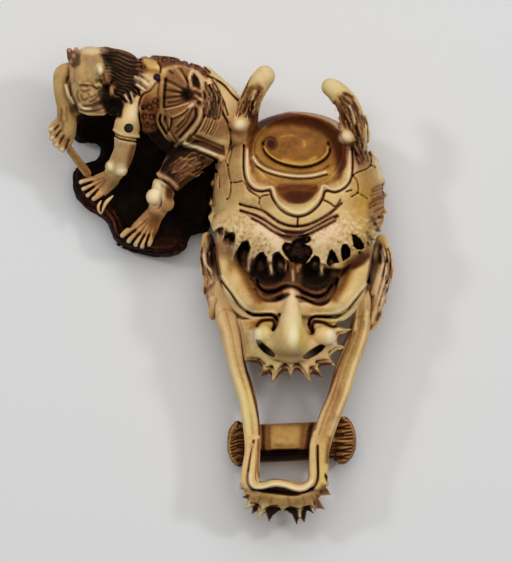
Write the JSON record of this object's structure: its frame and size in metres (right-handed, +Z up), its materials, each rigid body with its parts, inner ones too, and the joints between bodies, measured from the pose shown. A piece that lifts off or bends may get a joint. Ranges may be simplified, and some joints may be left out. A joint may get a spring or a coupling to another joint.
{
  "type": "netsuke",
  "caption": "Carved ivory netsuke: a small horned demon bent over a rock, joined to a big open-jawed demon mask with a bowl in its crown.",
  "frame": {"origin": "on the flat back of the mask, under the middle of its head, in the plane the netsuke lies on", "axes": "+Y from the mask's chin to its crown, +Z up through its face, +X across the face away from the demon"},
  "size_m": [0.0439, 0.0591, 0.0174],
  "materials": {
    "stained_ivory": "satin",
    "dark_horn": "gloss"
  },
  "bodies": {
    "root": {"ivory_carving": "stained_ivory", "elbow_dot": "dark_horn", "shoulder_dot": "dark_horn"}
  },
  "joints": []
}
